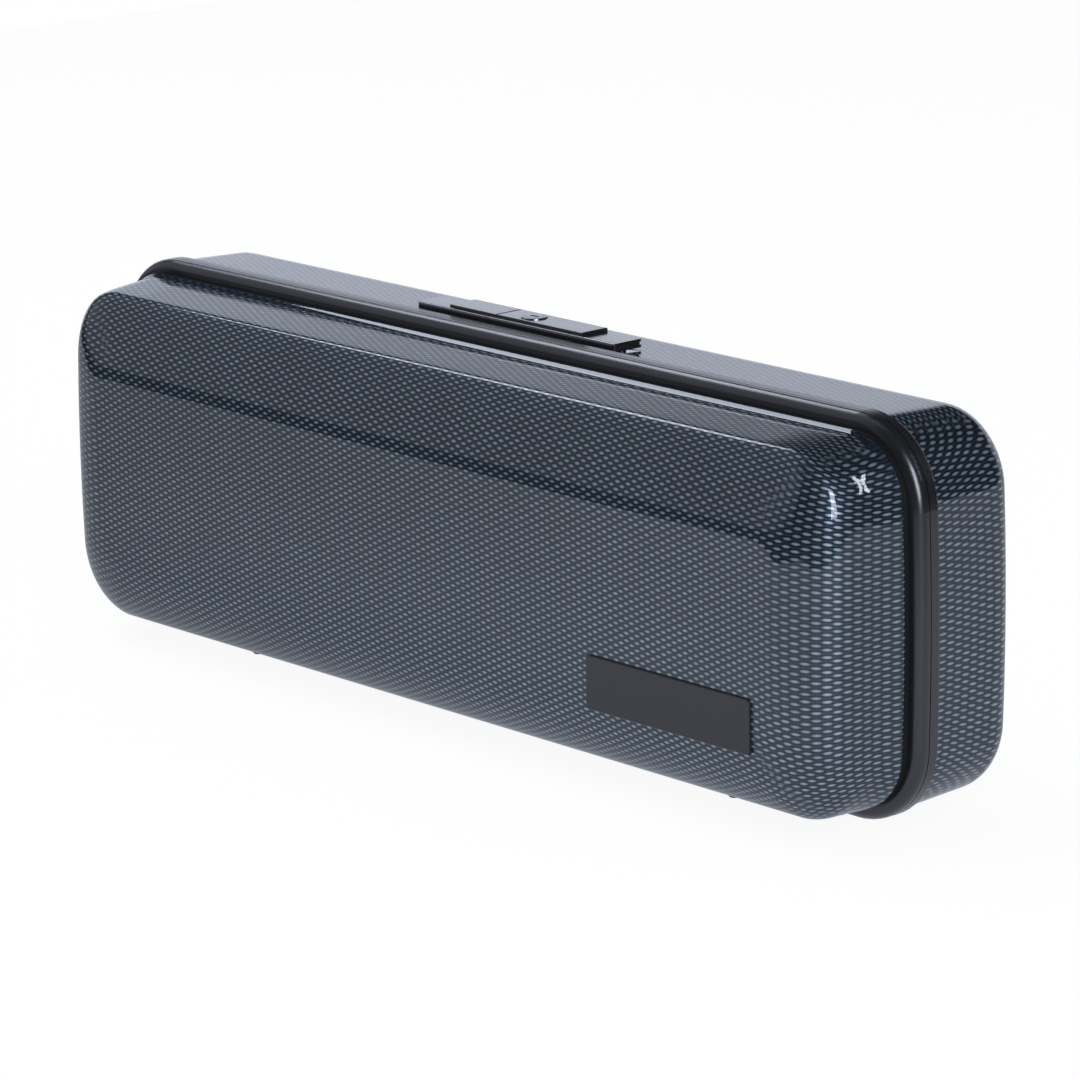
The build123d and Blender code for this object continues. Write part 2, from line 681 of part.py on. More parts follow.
with BuildPart() as instrument_bed:
    extrude(to_extrude=outline(bed_front, bed_inset), amount=-(base_wall_y - bed_front))
    loft(sections=soft_edge(base_wall_y, base_depth - wall, bed_inset, base_round_in,
                            base_corner_share))
    add(recess(joint_left, upper_joint_len, upper_joint_z, upper_joint_width, recess_deep,
               recess_end, recess_round), mode=Mode.SUBTRACT)
    add(recess(joint_left, lower_joint_len, lower_joint_z, lower_joint_width, recess_deep,
               recess_end, recess_round), mode=Mode.SUBTRACT)
    add(bell_recess(), mode=Mode.SUBTRACT)
    add(recess(tray_left, tray_len, tray_z, tray_width, recess_deep, tray_corner, tray_round),
        mode=Mode.SUBTRACT)
    add(recess(small_tray_left, small_tray_len, upper_joint_z, upper_joint_width, recess_deep,
               tray_corner, tray_round), mode=Mode.SUBTRACT)
    add(recess(scoop_x - scoop_len / 2, scoop_len, scoop_z, scoop_width, scoop_deep,
               recess_end, recess_round), mode=Mode.SUBTRACT)
    # room for the keeper, the bolt's finger and the strike
    add(block((-rail_len / 2 - bed_pocket_gap, bed_front, finger_bottom - bed_pocket_gap),
              (rail_len / 2 + bed_pocket_gap, latch_y + keeper_half + bed_pocket_gap, far)),
        mode=Mode.SUBTRACT)

# Lining and pad in the lid

with BuildPart() as lid_lining:
    extrude(to_extrude=outline(-lining_front, lining_in), amount=-lining_front - lid_wall_y)
    loft(sections=soft_edge(lid_wall_y, -lid_depth + wall, lining_in, lid_round_in,
                            lid_corner_share))
    extrude(to_extrude=outline(-lining_front, lining_in + lining_thick),
            amount=-lining_front - lid_wall_y, mode=Mode.SUBTRACT)
    loft(sections=soft_edge(lid_wall_y, pad_floor, lining_in + lining_thick, lid_round_in,
                            lid_corner_share), mode=Mode.SUBTRACT)

with BuildPart() as lid_pad:
    # each section's rise above the seam, and how far its sides lie inside the widest one
    crown = [(0, pad_draw), (pad_side / 2, 0), (pad_side, 0)]
    crown += [(pad_side + pad_crown * sin(radians(turn)), pad_corner * (1 - cos(radians(turn))))
              for turn in (30, 60, 90)]
    sections = []
    for rise, inward in crown:
        with BuildSketch(depth_plane(pad_floor + rise)) as section:
            RectangleRounded(2 * (pad_half_len - inward), 2 * (pad_half_ht - inward),
                             pad_corner - inward * pad_corner_share)
        sections.append(section.sketch)
    loft(sections=sections)
    # stitched channels across the pad
    for index in range(channel_count):
        x = (index - (channel_count - 1) / 2) * channel_pitch
        add(bar((x, pad_floor + pad_side + pad_crown, foot_plane - pad_half_ht), (0, 0, 1),
                channel_r, 2 * pad_half_ht), mode=Mode.SUBTRACT)

# Badge plate and feet

with BuildPart() as badge_plate:
    with BuildSketch(depth_plane(-lid_depth + wall / 2)):
        with Locations((badge_x, badge_z)):
            RectangleRounded(badge_len, badge_ht, badge_corner)
    extrude(amount=badge_thick + wall / 2)
    chamfer(badge_plate.faces().sort_by(Axis.Y)[0].outer_wire().edges(), length=badge_thick / 4)
    add(lid_shell.part, mode=Mode.SUBTRACT)


# Two rubber feet under one shell, shaped to it where they are stuck on
def feet(shell, y, radius, inset):
    with BuildPart() as pair:
        with BuildSketch():
            with Locations((-foot_x, y), (foot_x, y)):
                Circle(radius)
        extrude(amount=foot_plane - half_ht + inset + wall / 2)
        chamfer(pair.edges().filter_by(GeomType.CIRCLE).group_by(Axis.Z)[0], length=foot_edge)
        add(shell, mode=Mode.SUBTRACT)
    return pair.part


with BuildPart() as lid_feet:
    add(feet(lid_shell.part, lid_foot_y, lid_foot_r, lid_inset))

with BuildPart() as base_feet:
    add(feet(base_shell.part, base_foot_y, base_foot_r, base_draft / 2))

finish(base_shell, "base_shell")
finish(base_rim, "base_rim")
finish(lid_shell, "lid_shell")
finish(lid_rim, "lid_rim")
finish(rim_bead, "rim_bead")
finish(rim_seal, "rim_seal")
finish(hinge_rivets_lid, "hinge_rivets_lid")
finish(hinge_rivets_base, "hinge_rivets_base")
finish(latch_rail, "latch_rail")
finish(lock_plate, "lock_plate")
finish(latch_slider, "latch_slider")
finish(latch_bolt, "latch_bolt")
finish(bolt_screw, "bolt_screw")
finish(latch_keeper, "latch_keeper")
finish(latch_rivets, "latch_rivets")
finish(latch_detent, "latch_detent")
finish(lock_barrel, "lock_barrel")
finish(lock_plug, "lock_plug")
finish(lock_cam, "lock_cam")
finish(strike_plate, "strike_plate")
finish(strike_rivets, "strike_rivets")
finish(instrument_bed, "instrument_bed")
finish(lid_lining, "lid_lining")
finish(lid_pad, "lid_pad")
finish(badge_plate, "badge_plate")
finish(lid_feet, "lid_feet")
finish(base_feet, "base_feet")
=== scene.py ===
import bmesh
import bpy
from math import asin, atan2, cos, degrees, hypot, pi, radians, sin, sqrt, tan
from mathutils import Matrix, Quaternion, Vector, noise


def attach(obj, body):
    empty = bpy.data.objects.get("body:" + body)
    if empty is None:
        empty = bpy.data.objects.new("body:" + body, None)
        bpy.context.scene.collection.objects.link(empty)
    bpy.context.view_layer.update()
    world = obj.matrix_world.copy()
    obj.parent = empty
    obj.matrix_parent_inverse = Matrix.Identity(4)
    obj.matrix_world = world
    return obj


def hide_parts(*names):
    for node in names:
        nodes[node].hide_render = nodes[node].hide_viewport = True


# Oboe case standing on its spine. Metres, +X along the case, the lid faces -Y, +Z up.

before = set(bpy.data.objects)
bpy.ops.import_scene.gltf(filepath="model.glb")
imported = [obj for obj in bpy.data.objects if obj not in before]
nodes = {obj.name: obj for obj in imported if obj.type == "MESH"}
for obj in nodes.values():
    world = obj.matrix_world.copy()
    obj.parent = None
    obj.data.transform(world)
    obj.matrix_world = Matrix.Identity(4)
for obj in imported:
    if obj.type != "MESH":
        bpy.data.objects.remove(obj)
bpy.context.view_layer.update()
mm = 0.001

print("Camera")

photoCamera = {
    "eye": (1082.0, -950.7, 419.9),     # mm
    "azimuth": 48.278,                  # degrees, 0 looks along +Y
    "elevation": 14.381,
    "roll": -0.897,
    "lens": 179.0,
    "sensor": 36.0,
}


def makeCamera(p):
    azimuth, elevation, roll = (radians(p[k]) for k in ("azimuth", "elevation", "roll"))
    right = Vector((cos(azimuth), sin(azimuth), 0))
    back = Vector((sin(azimuth) * cos(elevation), -cos(azimuth) * cos(elevation), sin(elevation)))
    up = back.cross(right)
    rolledRight = right * cos(roll) + up * sin(roll)
    rolledUp = up * cos(roll) - right * sin(roll)
    data = bpy.data.cameras.new("photoCamera")
    data.lens = p["lens"]
    data.sensor_width = p["sensor"]
    data.clip_start = 0.05
    cam = bpy.data.objects.new("photoCamera", data)
    turn = Matrix((rolledRight, rolledUp, back)).transposed().to_4x4()
    cam.matrix_world = Matrix.Translation(Vector(p["eye"]) * mm) @ turn
    bpy.context.scene.collection.objects.link(cam)
    bpy.context.scene.camera = cam


makeCamera(photoCamera)

print("Materials")


# A small builder for node trees: each call adds one node and links what it is given
class Tree:
    def __init__(self, name, isWorld=False):
        self.owner = bpy.data.worlds.new(name) if isWorld else bpy.data.materials.new(name)
        self.owner.use_nodes = True
        self.tree = self.owner.node_tree
        self.tree.nodes.clear()

    def add(self, kind, inputs=None, **settings):
        node = self.tree.nodes.new(kind)
        for key, value in settings.items():
            setattr(node, key, value)
        for key, value in (inputs or {}).items():
            if isinstance(value, bpy.types.NodeSocket):
                self.tree.links.new(value, node.inputs[key])
            else:
                node.inputs[key].default_value = value
        return node

    def math(self, operation, a, b=0.0, c=0.0, clamp=False):
        node = self.add("ShaderNodeMath", {0: a, 1: b, 2: c}, operation=operation, use_clamp=clamp)
        return node.outputs[0]

    def blend(self, factor, a, b):
        node = self.add("ShaderNodeMix", {0: factor, 6: a, 7: b}, data_type="RGBA")
        return node.outputs[2]

    def mixValue(self, factor, a, b):
        return self.add("ShaderNodeMix", {0: factor, 2: a, 3: b}).outputs[0]

    def noise(self, vector, scale, detail=2.0, roughness=0.5):
        node = self.add("ShaderNodeTexNoise", {"Vector": vector, "Scale": scale, "Detail": detail,
                                               "Roughness": roughness})
        return node.outputs["Fac"]

    def ramp(self, value, low, high, outLow=0.0, outHigh=1.0):
        node = self.add("ShaderNodeMapRange", {0: value, 1: low, 2: high, 3: outLow, 4: outHigh},
                        interpolation_type="SMOOTHSTEP")
        return node.outputs[0]

    def bump(self, height, strength, distance, normal=None):
        inputs = {"Height": height, "Strength": strength, "Distance": distance}
        if normal:
            inputs["Normal"] = normal
        return self.add("ShaderNodeBump", inputs).outputs[0]

    def stretched(self, vector, x, y, z):
        return self.add("ShaderNodeMapping", {"Vector": vector, "Scale": (x, y, z)}).outputs[0]

    def place(self):
        return self.add("ShaderNodeTexCoord").outputs["Object"]

    def principled(self, inputs):
        shader = self.add("ShaderNodeBsdfPrincipled", inputs)
        self.add("ShaderNodeOutputMaterial", {"Surface": shader.outputs[0]})
        return self.owner


def grey(level, blue=1.0):
    return (level, level, level * blue, 1)


weave = {
    "pitchAcross": 2.03,           # mm, one column of the weave on the flat front
    "pitchUp": 2.0,                # mm, one row
    "dashLong": 0.60,              # half length of a tow, share of a column
    "dashHigh": 0.26,              # half height, share of a row
    "ground": (0.024, 0.038, 0.056, 1),
    "deep": (0.005, 0.009, 0.015, 1),    # the shadow round each tow
    "tow": (0.320, 0.375, 0.420, 1),
    "edgeTint": (0.30, 0.32, 0.35, 1),   # what the fibre reflects at a flat angle
    "groundRough": 0.50,
    "towRough": 0.48,
    "metal": 0.8,
    "coatRough": 0.03,
    "relief": 0.00008,             # m
    "coatRelief": 0.000010,
}


def weaveMask(tree, layer, p):
    uv = tree.add("ShaderNodeUVMap", uv_map=layer).outputs[0]
    parts = tree.add("ShaderNodeSeparateXYZ", {0: uv})
    across = tree.math("DIVIDE", parts.outputs[0], p["pitchAcross"] * mm)
    column = tree.math("FLOOR", across)
    odd = tree.math("FLOORED_MODULO", column, 2.0)
    up = tree.math("MULTIPLY_ADD", odd, 0.5, tree.math("DIVIDE", parts.outputs[1], p["pitchUp"] * mm))
    row = tree.math("FLOOR", up)
    offAcross = tree.math("SUBTRACT", tree.math("SUBTRACT", across, column), 0.5)
    offUp = tree.math("SUBTRACT", tree.math("SUBTRACT", up, row), 0.5)
    # a soft ellipse in each cell, 0 at its middle and 1 at its edge
    wide = tree.math("POWER", tree.math("DIVIDE", offAcross, p["dashLong"]), 2.0)
    reach = tree.math("ADD", wide, tree.math("POWER", tree.math("DIVIDE", offUp, p["dashHigh"]), 2.0))
    dash = tree.ramp(reach, -0.05, 1.0, 1.0, 0.0)
    away = tree.ramp(reach, 1.1, 2.6)
    # every tow a little lighter or darker than its neighbours
    cell = tree.add("ShaderNodeCombineXYZ", {0: column, 1: row}).outputs[0]
    shade = tree.add("ShaderNodeTexWhiteNoise", {0: cell}, noise_dimensions="2D").outputs[0]
    return dash, shade, away


def makeWeave(p):
    tree = Tree("wovenFibre")
    front, frontShade, frontAway = weaveMask(tree, "around", p)
    top, topShade, topAway = weaveMask(tree, "over", p)
    share = tree.add("ShaderNodeAttribute", attribute_name="topShare").outputs["Fac"]
    dash = tree.mixValue(share, front, top)
    shade = tree.ramp(tree.mixValue(share, frontShade, topShade), 0.0, 1.0, 0.82, 1.0)
    cloudy = tree.ramp(tree.noise(tree.place(), 22.0, 2.0), 0.3, 0.7, 0.90, 1.0)
    strength = tree.math("MULTIPLY", tree.math("MULTIPLY", dash, shade), cloudy)
    plain = tree.add("ShaderNodeAttribute", attribute_name="plainShare").outputs["Fac"]
    strength = tree.math("MULTIPLY", strength, tree.math("SUBTRACT", 1.0, plain))
    lowTone = tree.blend(tree.mixValue(share, frontAway, topAway), p["deep"], p["ground"])
    colour = tree.blend(strength, lowTone, p["tow"])
    rough = tree.mixValue(strength, p["groundRough"], p["towRough"])
    orange = tree.noise(tree.place(), 260.0, 1.0)
    raised = tree.math("MULTIPLY", dash, tree.math("MULTIPLY_ADD", share, -0.8, 1.0))
    coatHeight = tree.math("MULTIPLY_ADD", orange, 0.5, raised)
    return tree.principled({
        "Base Color": colour, "Roughness": rough, "Metallic": p["metal"], "Specular IOR Level": 0.5,
        "Specular Tint": p["edgeTint"], "Normal": tree.bump(dash, 0.3, p["relief"]),
        "Coat Weight": 1.0, "Coat Roughness": p["coatRough"], "Coat IOR": 1.5,
        "Coat Normal": tree.bump(coatHeight, 0.4, p["coatRelief"]),
    })


def makeCoatedMetal(name, colour, rough, drawn, grain=0.35, coat=0.0, coatRough=0.14):
    tree = Tree(name)
    place = tree.place()
    lines = tree.noise(tree.stretched(place, *drawn), 900.0, 3.0)
    speck = tree.noise(place, 2400.0, 2.0)
    wear = tree.ramp(tree.noise(place, 35.0, 3.0), 0.35, 0.75)
    tint = tree.blend(tree.math("MULTIPLY", wear, 0.5), colour,
                      tuple(1.35 * c for c in colour[:3]) + (1,))
    height = tree.math("ADD", tree.math("MULTIPLY", lines, 0.6), tree.math("MULTIPLY", speck, 0.4))
    return tree.principled({
        "Base Color": tint, "Roughness": tree.ramp(lines, 0.2, 0.8, rough - 0.04, rough + 0.05),
        "Specular IOR Level": 0.5, "Coat Weight": coat, "Coat Roughness": coatRough,
        "Normal": tree.bump(height, grain, 0.00002),
    })


def makeSteel(name, colour, rough, drawn=(1, 1, 1)):
    tree = Tree(name)
    place = tree.place()
    lines = tree.noise(tree.stretched(place, *drawn), 1300.0, 3.0)
    smudge = tree.ramp(tree.noise(place, 120.0, 3.0), 0.3, 0.7, -0.05, 0.08)
    return tree.principled({
        "Base Color": tree.blend(lines, colour, tuple(0.8 * c for c in colour[:3]) + (1,)),
        "Metallic": 1.0, "Roughness": tree.math("ADD", smudge, rough),
        "Normal": tree.bump(lines, 0.25, 0.00002),
    })


def makeRubber():
    tree = Tree("blackRubber")
    place = tree.place()
    pores = tree.noise(place, 1800.0, 3.0)
    dust = tree.ramp(tree.noise(place, 60.0, 3.0), 0.5, 0.8, 0.0, 0.4)
    return tree.principled({
        "Base Color": tree.blend(dust, grey(0.004), grey(0.009)), "Specular IOR Level": 0.3,
        "Roughness": tree.ramp(pores, 0.3, 0.7, 0.55, 0.75),
        "Normal": tree.bump(pores, 0.4, 0.00003),
    })


velvet = {
    "deep": (0.006, 0.008, 0.020, 1),
    "light": (0.020, 0.027, 0.060, 1),
    "crushed": (0.042, 0.052, 0.100, 1),
    "sheen": 0.6,
}


def makeVelvet(name, p, brush=9.0):
    tree = Tree(name)
    place = tree.place()
    pile = tree.noise(place, 2600.0, 3.0, 0.7)
    lay = tree.noise(tree.stretched(place, 1.0, 1.0, 1.7), brush, 4.0, 0.6)
    stroke = tree.noise(tree.stretched(place, 1.0, 1.0, 0.35), 95.0, 3.0)
    low = tree.blend(tree.ramp(pile, 0.3, 0.7), p["deep"], p["light"])
    lifted = tree.ramp(tree.math("MULTIPLY_ADD", stroke, 0.35, lay), 0.55, 0.88, 0.0, 0.75)
    height = tree.math("ADD", pile, tree.math("MULTIPLY", stroke, 0.6))
    return tree.principled({
        "Base Color": tree.blend(lifted, low, p["crushed"]), "Roughness": 0.92,
        "Specular IOR Level": 0.2, "Sheen Weight": p["sheen"], "Sheen Roughness": 0.38,
        "Sheen Tint": (0.55, 0.62, 0.95, 1),
        "Normal": tree.bump(height, 0.55, 0.00022),
    })


def makeBadge():
    tree = Tree("badgeGloss")
    place = tree.place()
    fleck = tree.noise(place, 3200.0, 2.0)
    ripple = tree.noise(place, 45.0, 2.0)
    return tree.principled({
        "Base Color": tree.blend(fleck, grey(0.007, 1.2), grey(0.013, 1.2)),
        "Roughness": 0.3, "Specular IOR Level": 0.2,
        "Coat Weight": 0.6, "Coat Roughness": 0.03, "Coat IOR": 1.45,
        "Coat Normal": tree.bump(ripple, 0.2, 0.00004),
    })


finishes = {
    "weave": makeWeave(weave),
    "rim": makeCoatedMetal("rimBlack", (0.006, 0.0062, 0.0075, 1), 0.30, (0.02, 1, 1), 0.08, 0.6, 0.22),
    "latch": makeCoatedMetal("latchBlack", (0.008, 0.008, 0.009, 1), 0.26, (0.03, 1, 1), 0.05, 1.0),
    "hinge": makeCoatedMetal("hingeBlack", (0.010, 0.010, 0.011, 1), 0.36, (1, 1, 1), 0.6),
    "rubber": makeRubber(),
    "steel": makeSteel("plainSteel", (0.56, 0.56, 0.57, 1), 0.30, (0.05, 1, 1)),
    "lock": makeSteel("lockSteel", (0.42, 0.42, 0.44, 1), 0.20),
    "velvet": makeVelvet("bedVelvet", velvet),
    "lining": makeVelvet("liningVelvet", velvet, 7.0),
    "pad": makeVelvet("padVelvet", velvet, 14.0),
    "badge": makeBadge(),
}

nodeFinish = {
    "rim": ["base_rim", "lid_rim"],
    "rubber": ["rim_bead", "rim_seal", "base_feet", "lid_feet"],
    "hinge": ["hinge_leaf_base_left", "hinge_leaf_base_right", "hinge_leaf_lid_left",
              "hinge_leaf_lid_right"],
    "steel": ["hinge_pin_left", "hinge_pin_right", "hinge_rivets_base", "hinge_rivets_lid",
              "latch_keeper", "latch_rivets", "latch_detent", "latch_bolt", "bolt_screw",
              "strike_plate", "strike_rivets", "lock_cam"],
    "latch": ["latch_rail", "latch_slider", "lock_plate"],
    "lock": ["lock_barrel", "lock_plug"],
    "badge": ["badge_plate"],
}


def dress(obj, finish):
    obj.data.materials.clear()
    obj.data.materials.append(finishes[finish])


for finish, names in nodeFinish.items():
    for name in names:
        dress(nodes[name], finish)

print("Case outline")

case = {
    "halfLen": 163.5,              # mm, half length at mid height
    "halfHt": 52.9,
    "endBulge": 1.7,
    "corner": 21.0,
    "mid": 56.2,                   # mid height above the floor
    "cornerSteps": 28,
    "endSteps": 10,
    "flatSteps": 10,
}


# One loop of the case outline, counterclockwise seen from +Y reversed: (x, z, nx, nz) in mm
def outlineLoop(inset, corner, p=case):
    topZ = p["halfHt"] - inset
    bulge = p["endBulge"]
    arc = (topZ ** 2 + bulge ** 2) / (2 * bulge)         # radius of the bulging end
    arcX = p["halfLen"] - inset - arc
    roundZ = topZ - corner
    roundX = arcX + sqrt((arc - corner) ** 2 - roundZ ** 2)
    meet = atan2(roundZ, roundX - arcX)                  # where the end passes into the corner
    quarter = []
    for i in range(p["endSteps"]):
        a = meet * i / p["endSteps"]
        quarter.append((arcX + arc * cos(a), arc * sin(a), cos(a), sin(a)))
    for i in range(p["cornerSteps"]):
        a = meet + (pi / 2 - meet) * i / p["cornerSteps"]
        quarter.append((roundX + corner * cos(a), roundZ + corner * sin(a), cos(a), sin(a)))
    for i in range(p["flatSteps"]):
        quarter.append((roundX * (1 - i / p["flatSteps"]), topZ, 0.0, 1.0))
    last = (0.0, topZ, 0.0, 1.0)
    right = quarter + [last] + [(-x, z, -nx, nz) for x, z, nx, nz in reversed(quarter[1:])]
    below = [(x, -z, nx, -nz) for x, z, nx, nz in right[1:]]
    end = [(-quarter[0][0], 0.0, -1.0, 0.0)]
    return right + end + list(reversed(below))


# Rings of a soft edge from the flat face to the straight wall: (y, inset, corner radius)
def softRings(wallY, faceY, inset, roundIn, share, steps):
    rings = []
    for i in range(steps + 1):
        turn = radians(90 * (1 - i / steps))
        across = roundIn * (1 - cos(turn))
        rings.append((wallY + (faceY - wallY) * sin(turn), inset + across,
                      case["corner"] - inset - share * across))
    return rings


# The weave is laid out flat from the face and drawn over the edges: the cloth stretches along
# the walls and its rows crowd together there
drape = {"aroundEnds": 1.5, "overTop": 1.0, "crowd": 0.093, "crowdFrom": 6.0, "crowdTo": 24.0}


def softStep(value, low, high):
    t = min(1.0, max(0.0, (value - low) / (high - low)))
    return t * t * (3 - 2 * t)


# A closed skin through rings of the outline, with a flat cap on the first and the last ring.
# One weave layout runs on round the ends, the other over the top and bottom, and topShare fades
# one into the other. move may push a point in before it is made.
def skin(name, rings, move=None, sharpAngle=40):
    mesh = bpy.data.meshes.new(name)
    bm = bmesh.new()
    around = bm.loops.layers.uv.new("around")
    over = bm.loops.layers.uv.new("over")
    shareLayer = bm.verts.layers.float.new("topShare")
    plainLayer = bm.verts.layers.float.new("plainShare")
    # the ring where the flat ends
    edge = next(i for i, ring in enumerate(rings) if rings[i + 1][0] != ring[0])
    face = outlineLoop(rings[edge][1], rings[edge][2])
    loops, layout = [], {}
    reach = 0.0
    for index, (y, inset, corner) in enumerate(rings):
        if index > edge:
            reach += hypot(y - rings[index - 1][0], inset - rings[index - 1][1])
        out, up = reach / drape["aroundEnds"], reach / drape["overTop"]
        crowd = 1 + drape["crowd"] * softStep(out, drape["crowdFrom"], drape["crowdTo"])
        loop = []
        for (x, z, nx, nz), (faceX, faceZ, _, _) in zip(outlineLoop(inset, corner), face):
            spot = (x, y, z + case["mid"])
            vert = bm.verts.new(Vector(move(spot, (nx, nz)) if move else spot) * mm)
            vert[shareLayer] = softStep(degrees(asin(min(1.0, abs(nz)))), 50, 75)
            vert[plainLayer] = max(0.0, nz) * (1 - softStep(-y, 7.3, 8.2)) if move else 0.0
            sideX = 1 if nx > 0 else -1
            sideZ = 1 if nz > 0 else -1
            if index > edge:
                layout[vert] = ((faceX + sideX * out, z * crowd), (x, faceZ + sideZ * up))
            else:
                layout[vert] = ((x, z), (x, z))
            loop.append(vert)
        loops.append(loop)
    for first, second in zip(loops, loops[1:]):
        for i in range(len(first)):
            j = (i + 1) % len(first)
            bm.faces.new((first[i], first[j], second[j], second[i]))
    bm.faces.new(list(reversed(loops[0])))
    bm.faces.new(loops[-1])
    bmesh.ops.recalc_face_normals(bm, faces=bm.faces)
    for polygon in bm.faces:
        polygon.smooth = True
        for piece in polygon.loops:
            first, second = layout[piece.vert]
            piece[around].uv = (first[0] * mm, first[1] * mm)
            piece[over].uv = (second[0] * mm, second[1] * mm)
    bm.to_mesh(mesh)
    bm.free()
    mesh.set_sharp_from_angle(angle=radians(sharpAngle))
    obj = bpy.data.objects.new(name, mesh)
    bpy.context.scene.collection.objects.link(obj)
    return obj


def cutAway(obj, cutters):
    for cutter in cutters:
        modifier = obj.modifiers.new("cut", "BOOLEAN")
        modifier.object = cutter
        modifier.operation = "DIFFERENCE"
        modifier.solver = "EXACT"
    bpy.context.view_layer.update()
    evaluated = obj.evaluated_get(bpy.context.evaluated_depsgraph_get())
    cut = bpy.data.meshes.new_from_object(evaluated)
    obj.modifiers.clear()
    obj.data = cut
    for cutter in cutters:
        bpy.data.objects.remove(cutter)


def meshObject(name, bm, sharpAngle=35, smooth=True):
    mesh = bpy.data.meshes.new(name)
    bmesh.ops.recalc_face_normals(bm, faces=bm.faces)
    for polygon in bm.faces:
        polygon.smooth = smooth
    bm.to_mesh(mesh)
    bm.free()
    if smooth:
        mesh.set_sharp_from_angle(angle=radians(sharpAngle))
    obj = bpy.data.objects.new(name, mesh)
    bpy.context.scene.collection.objects.link(obj)
    return obj


def boxObject(name, low, high):
    bm = bmesh.new()
    bmesh.ops.create_cube(bm, size=1.0)
    middle = (Vector(low) + Vector(high)) / 2 * mm
    size = (Vector(high) - Vector(low)) * mm
    bmesh.ops.scale(bm, vec=size, verts=bm.verts)
    bmesh.ops.translate(bm, vec=middle, verts=bm.verts)
    return meshObject(name, bm, smooth=False)


def drumObject(name, place, radius, length, steps=48):
    bm = bmesh.new()
    bmesh.ops.create_cone(bm, cap_ends=True, segments=steps, radius1=radius * mm, radius2=radius * mm,
                          depth=length * mm)
    bmesh.ops.translate(bm, vec=Vector(place) * mm, verts=bm.verts)
    return meshObject(name, bm)


print("Shells")

lidShape = {
    "depth": 33.1, "inset": 2.4, "roundIn": 21.4, "roundDeep": 14.7, "share": 0.2,
    "edgeY": 5.3, "edgeRound": 0.8, "flangeY": 2.25, "step": 0.9, "wall": 2.4,
}
baseShape = {
    "depth": 33.9, "draft": 0.95, "roundIn": 5.4, "roundDeep": 8.1, "share": 0.5,
    "edgeY": 2.25, "wall": 2.4,
}
latchCut = {
    "y": 10.9, "z": 107.6, "reach": 9.0,
    "slot": (-27.3, -13.7, 1.8),        # from, to and half width of the stem's slot
    "lockX": 2.8, "lockR": 3.83, "rivetX": 38.0, "rivetR": 1.28,
}


def plainRing(y, inset):
    return y, inset, case["corner"] - inset


# How the lid departs from plain rounded walls: a facet leans back over the upper edge of its
# front, a small lip runs beside its rear edge, and top and ends draw in a little towards the front
lidFacet = {
    "from": 84.0, "lean": 18.5, "blend": 0.7,
    "lipWide": 2.2, "lipDrop": 1.0, "draft": 0.085, "bend": 0.2,
    "endCurve": 0.006, "endBend": 2.4, "endEase": 9.0,
}


def smoothMax(a, b, blend):
    return (a + b + hypot(a - b, blend)) / 2


def lidMove(spot, normal, p=lidFacet, shape=lidShape):
    x, y, z = spot
    deep = -y - shape["edgeY"]
    if deep <= 0:
        return spot
    wallDeep = shape["depth"] - shape["roundDeep"] - shape["edgeY"]      # where the rounding starts
    beyond = min(1.0, max(0.0, (deep - wallDeep) / shape["roundDeep"]))
    plain = shape["roundIn"] * (1 - sqrt(1 - beyond * beyond))
    topLine = p["lipDrop"] * min(1.0, deep / p["lipWide"]) + p["draft"] * max(0.0, deep - p["lipWide"])
    start = softStep(deep, 0.0, 1.0)
    topPush = (smoothMax(plain, topLine, p["bend"]) - plain) * start * max(0.0, normal[1])
    endPush = smoothMax(plain, p["endCurve"] * deep * deep, p["endBend"]) - plain
    endPush *= softStep(deep, 0.0, p["endEase"]) * abs(normal[0])
    inward = topPush + endPush * (1 - 0.5 * max(0.0, normal[1]))
    x -= normal[0] * inward
    z -= normal[1] * inward
    plane = -shape["depth"] + tan(radians(p["lean"])) * (z - p["from"])
    y += (smoothMax(plane, y, p["blend"]) - y) * softStep(z, p["from"] - 4.0, p["from"] + 2.0)
    return x, y, z


def makeLidShell(p):
    wallY = -p["depth"] + p["roundDeep"]
    faceInset = p["inset"] + p["roundIn"]
    faceCorner = case["corner"] - p["inset"] - p["share"] * p["roundIn"]
    rings = [(-p["depth"], faceInset + more, faceCorner - 0.5 * more)
             for more in (12.0, 6.0, 4.2, 3.0, 2.0, 1.0)]
    rings += softRings(wallY, -p["depth"], p["inset"], p["roundIn"], p["share"], 34)
    rings += [plainRing(y, p["inset"]) for y in (-16.5, -14.0, -11.5, -9.5, -8.6, -8.0, -7.4, -6.9, -6.4)]
    for i in range(5):                                   # small rounding of the rear edge
        turn = radians(90 * i / 4)
        rings.append(plainRing(-p["edgeY"] - p["edgeRound"] * (1 - sin(turn)),
                               p["inset"] + p["edgeRound"] * (1 - cos(turn))))
    rings += [plainRing(-p["edgeY"], p["inset"] + p["step"]),
              plainRing(-p["flangeY"], p["inset"] + p["step"]),
              plainRing(-p["flangeY"], p["inset"] + p["wall"])]
    inner = softRings(wallY, -p["depth"] + p["wall"], p["inset"] + p["wall"], p["roundIn"],
                      p["share"], 12)
    return skin("lidShell", rings + list(reversed(inner)), lidMove)


